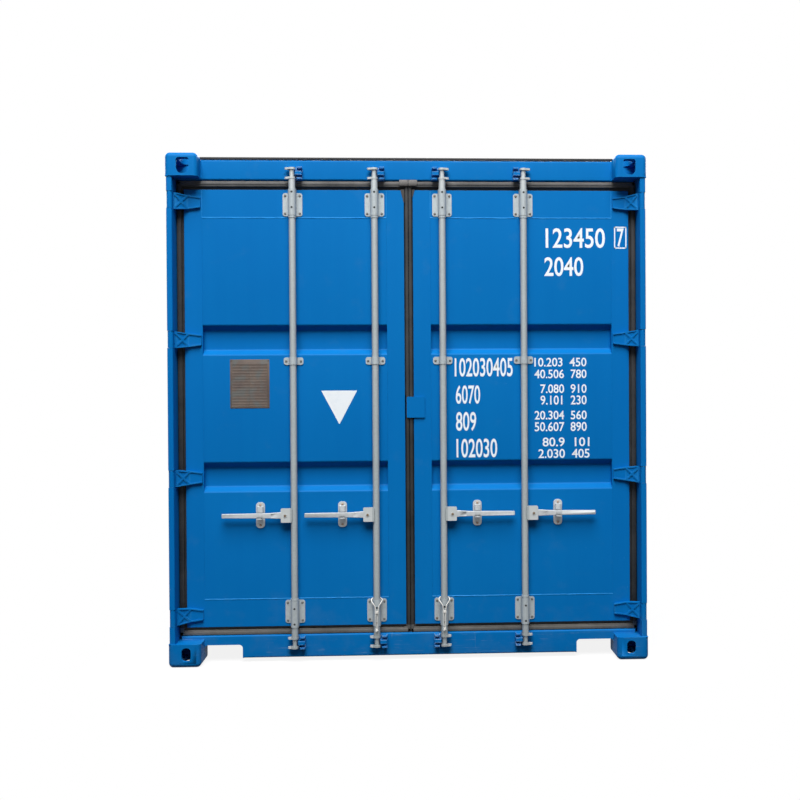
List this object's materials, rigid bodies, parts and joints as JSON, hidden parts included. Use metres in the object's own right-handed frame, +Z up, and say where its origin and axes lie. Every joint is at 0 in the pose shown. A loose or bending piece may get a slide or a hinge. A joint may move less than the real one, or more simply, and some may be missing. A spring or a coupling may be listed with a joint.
{
  "type": "shipping container",
  "caption": "Twenty-foot steel freight container with corner castings, ribbed walls, fork pockets and hinged double doors locked by turning bars with cams and handles.",
  "frame": {"origin": "centre of the base, on the plane under the bottom castings", "axes": "+Z up, doors towards -Y, +X to the right as the doors are seen"},
  "size_m": [2.438, 6.058, 2.591],
  "materials": {
    "blue_paint": "satin",
    "underseal": "matte",
    "galvanised_steel": "dull zinc",
    "rubber": "matte",
    "plywood": "sealed",
    "plate_metal": "brushed",
    "rope_fibre": "twisted"
  },
  "bodies": {
    "box": {"rear_top_castings": "blue_paint", "rear_bottom_castings": "blue_paint", "front_top_castings": "blue_paint", "front_bottom_castings": "blue_paint", "rear_left_post": "blue_paint", "rear_right_post": "blue_paint", "front_posts": "blue_paint", "door_header": "blue_paint", "door_sill": "blue_paint", "front_top_rail": "blue_paint", "front_bottom_rail": "blue_paint", "top_side_rails": "blue_paint", "bottom_side_rails": "blue_paint", "left_wall": "blue_paint", "right_wall": "blue_paint", "front_wall": "blue_paint", "roof": "blue_paint", "cam_keepers": "blue_paint", "cross_members": "underseal", "fork_pockets": "underseal", "floor": "plywood", "hinge_pins": "galvanised_steel"},
    "left_door": {"left_door_frame": "blue_paint", "left_door_panel": "blue_paint", "left_door_seal": "rubber", "left_door_hinges": "blue_paint", "left_bar_brackets": "galvanised_steel", "left_handle_retainers": "galvanised_steel", "data_plate": "plate_metal", "left_tie_rope": "rope_fibre", "left_rope_knots": "rope_fibre"},
    "right_door": {"right_door_frame": "blue_paint", "right_door_panel": "blue_paint", "right_door_seal": "rubber", "right_door_hinges": "blue_paint", "right_bar_brackets": "galvanised_steel", "right_handle_retainers": "galvanised_steel", "overlap_plate": "blue_paint", "right_tie_rope": "rope_fibre", "right_rope_knots": "rope_fibre"},
    "left_outer_bar": {"left_outer_bar": "galvanised_steel"},
    "left_outer_handle": {"left_outer_handle": "galvanised_steel"},
    "left_inner_bar": {"left_inner_bar": "galvanised_steel"},
    "left_inner_handle": {"left_inner_handle": "galvanised_steel"},
    "right_outer_bar": {"right_outer_bar": "galvanised_steel"},
    "right_outer_handle": {"right_outer_handle": "galvanised_steel"},
    "right_inner_bar": {"right_inner_bar": "galvanised_steel"},
    "right_inner_handle": {"right_inner_handle": "galvanised_steel"}
  },
  "joints": [
    {"name": "left_door_swing", "type": "hinge", "parent": "box", "child": "left_door", "pos_m": [-1.198, -3.008, 0], "axis": [0, 0, -1], "range_deg": [0, 270]},
    {"name": "left_outer_bar_turn", "type": "hinge", "parent": "left_door", "child": "left_outer_bar", "pos_m": [-0.5925, -2.956, 0], "axis": [0, 0, -1], "range_deg": [-105, 0]},
    {"name": "left_outer_handle_lift", "type": "hinge", "parent": "left_outer_bar", "child": "left_outer_handle", "pos_m": [-0.6365, -2.9645, 0.755], "axis": [0, -1, 0], "range_deg": [-30, 0]},
    {"name": "left_inner_bar_turn", "type": "hinge", "parent": "left_door", "child": "left_inner_bar", "pos_m": [-0.1735, -2.956, 0], "axis": [0, 0, -1], "range_deg": [-105, 0]},
    {"name": "left_inner_handle_lift", "type": "hinge", "parent": "left_inner_bar", "child": "left_inner_handle", "pos_m": [-0.2175, -2.9645, 0.755], "axis": [0, -1, 0], "range_deg": [-30, 0]},
    {"name": "right_door_swing", "type": "hinge", "parent": "box", "child": "right_door", "pos_m": [1.198, -3.008, 0], "axis": [0, 0, 1], "range_deg": [0, 270]},
    {"name": "right_outer_bar_turn", "type": "hinge", "parent": "right_door", "child": "right_outer_bar", "pos_m": [0.5925, -2.956, 0], "axis": [0, 0, 1], "range_deg": [-105, 0]},
    {"name": "right_outer_handle_lift", "type": "hinge", "parent": "right_outer_bar", "child": "right_outer_handle", "pos_m": [0.6365, -2.9645, 0.755], "axis": [0, 1, 0], "range_deg": [-30, 0]},
    {"name": "right_inner_bar_turn", "type": "hinge", "parent": "right_door", "child": "right_inner_bar", "pos_m": [0.1735, -2.956, 0], "axis": [0, 0, 1], "range_deg": [-105, 0]},
    {"name": "right_inner_handle_lift", "type": "hinge", "parent": "right_inner_bar", "child": "right_inner_handle", "pos_m": [0.2175, -2.9645, 0.755], "axis": [0, 1, 0], "range_deg": [-30, 0]}
  ]
}
